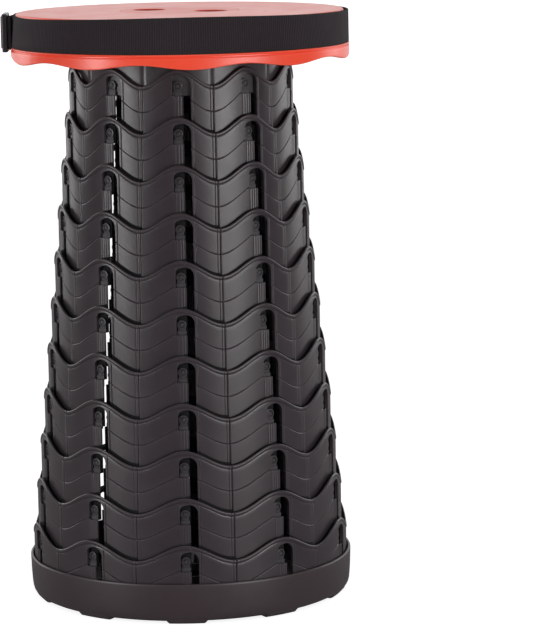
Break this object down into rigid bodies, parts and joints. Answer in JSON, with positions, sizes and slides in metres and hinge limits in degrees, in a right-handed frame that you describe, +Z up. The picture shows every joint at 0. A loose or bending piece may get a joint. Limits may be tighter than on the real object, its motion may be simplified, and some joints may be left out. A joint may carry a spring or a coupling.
{
  "type": "collapsible telescopic stool",
  "caption": "Round telescopic stool: nested wavy-edged rings with bayonet slots rise from a footed base to a flat coral seat with a webbing strap.",
  "frame": {"origin": "on the stool's axis, on the plane its feet stand on", "axes": "+Z up along the telescopic axis; -Y towards the picture's camera; +X to the picture's right"},
  "size_m": [0.2651, 0.3057, 0.45],
  "materials": {
    "ring_black": "satin",
    "base_black": "satin",
    "coral_plastic": "satin",
    "screw_steel": "satin",
    "webbing_black": "woven",
    "buckle_black": "satin"
  },
  "bodies": {
    "base": {"base_cup": "base_black", "ring_12": "ring_black"},
    "tier_11": {"ring_11": "ring_black"},
    "tier_10": {"ring_10": "ring_black"},
    "tier_09": {"ring_09": "ring_black"},
    "tier_08": {"ring_08": "ring_black"},
    "tier_07": {"ring_07": "ring_black"},
    "tier_06": {"ring_06": "ring_black"},
    "tier_05": {"ring_05": "ring_black"},
    "tier_04": {"ring_04": "ring_black"},
    "tier_03": {"ring_03": "ring_black"},
    "tier_02": {"ring_02": "ring_black"},
    "seat": {"ring_01": "ring_black", "deck": "ring_black", "seat_shell": "coral_plastic", "centre_disc": "coral_plastic", "seat_screws": "screw_steel", "strap_band": "webbing_black", "strap_loop": "webbing_black", "strap_tail": "webbing_black", "buckle": "buckle_black"}
  },
  "joints": [
    {"name": "tier_11_slide", "type": "slide", "parent": "base", "child": "tier_11", "axis": [0, 0, 1], "range_m": [-0.0351, 0]},
    {"name": "tier_10_slide", "type": "slide", "parent": "tier_11", "child": "tier_10", "axis": [0, 0, 1], "range_m": [-0.0351, 0]},
    {"name": "tier_09_slide", "type": "slide", "parent": "tier_10", "child": "tier_09", "axis": [0, 0, 1], "range_m": [-0.0351, 0]},
    {"name": "tier_08_slide", "type": "slide", "parent": "tier_09", "child": "tier_08", "axis": [0, 0, 1], "range_m": [-0.0351, 0]},
    {"name": "tier_07_slide", "type": "slide", "parent": "tier_08", "child": "tier_07", "axis": [0, 0, 1], "range_m": [-0.0351, 0]},
    {"name": "tier_06_slide", "type": "slide", "parent": "tier_07", "child": "tier_06", "axis": [0, 0, 1], "range_m": [-0.0351, 0]},
    {"name": "tier_05_slide", "type": "slide", "parent": "tier_06", "child": "tier_05", "axis": [0, 0, 1], "range_m": [-0.0351, 0]},
    {"name": "tier_04_slide", "type": "slide", "parent": "tier_05", "child": "tier_04", "axis": [0, 0, 1], "range_m": [-0.0351, 0]},
    {"name": "tier_03_slide", "type": "slide", "parent": "tier_04", "child": "tier_03", "axis": [0, 0, 1], "range_m": [-0.0351, 0]},
    {"name": "tier_02_slide", "type": "slide", "parent": "tier_03", "child": "tier_02", "axis": [0, 0, 1], "range_m": [-0.0351, 0]},
    {"name": "seat_slide", "type": "slide", "parent": "tier_02", "child": "seat", "axis": [0, 0, 1], "range_m": [-0.0351, 0]}
  ]
}
